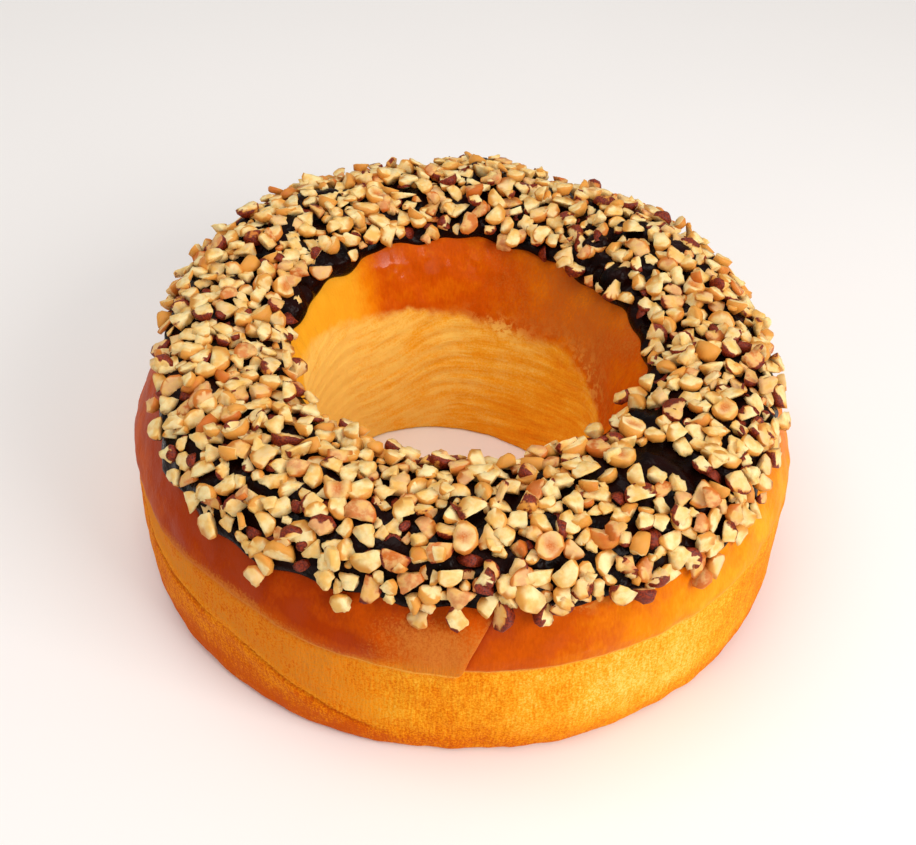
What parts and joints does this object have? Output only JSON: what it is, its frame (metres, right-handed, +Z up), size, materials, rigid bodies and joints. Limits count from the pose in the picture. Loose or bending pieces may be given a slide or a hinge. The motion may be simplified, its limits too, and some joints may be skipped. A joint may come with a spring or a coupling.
{
  "type": "ring loaf",
  "caption": "Ring-shaped brioche loaf with an open centre, a chocolate-glazed crown and a crust of chopped hazelnuts.",
  "frame": {"origin": "centre of the whole part's bounding box in plan, on the surface that the loaf stands on", "axes": "+Z up through the hole, +X to the right and +Y away from the side with the lapped seam"},
  "size_m": [0.2988, 0.303, 0.1183],
  "materials": {
    "crust": "baked crust with a soft egg-wash shine",
    "chocolate": "glossy dark chocolate glaze",
    "hazelnut": "matte roasted nut with a slight oily sheen"
  },
  "bodies": {
    "root": {"loaf_ring": "crust", "chocolate_glaze": "chocolate", "inner_nuts_01": "hazelnut", "inner_nuts_02": "hazelnut", "inner_nuts_03": "hazelnut", "inner_nuts_04": "hazelnut", "inner_nuts_05": "hazelnut", "inner_nuts_06": "hazelnut", "inner_nuts_07": "hazelnut", "inner_nuts_08": "hazelnut", "inner_nuts_09": "hazelnut", "inner_nuts_10": "hazelnut", "inner_nuts_11": "hazelnut", "inner_nuts_12": "hazelnut", "inner_nuts_13": "hazelnut", "inner_nuts_14": "hazelnut", "outer_nuts_01": "hazelnut", "outer_nuts_02": "hazelnut", "outer_nuts_03": "hazelnut", "outer_nuts_04": "hazelnut", "outer_nuts_05": "hazelnut", "outer_nuts_06": "hazelnut", "outer_nuts_07": "hazelnut", "outer_nuts_08": "hazelnut", "outer_nuts_09": "hazelnut", "outer_nuts_10": "hazelnut", "outer_nuts_11": "hazelnut", "outer_nuts_12": "hazelnut", "outer_nuts_13": "hazelnut", "outer_nuts_14": "hazelnut", "outer_nuts_15": "hazelnut", "outer_nuts_16": "hazelnut", "outer_nuts_17": "hazelnut", "outer_nuts_18": "hazelnut", "outer_nuts_19": "hazelnut", "outer_nuts_20": "hazelnut"}
  },
  "joints": []
}
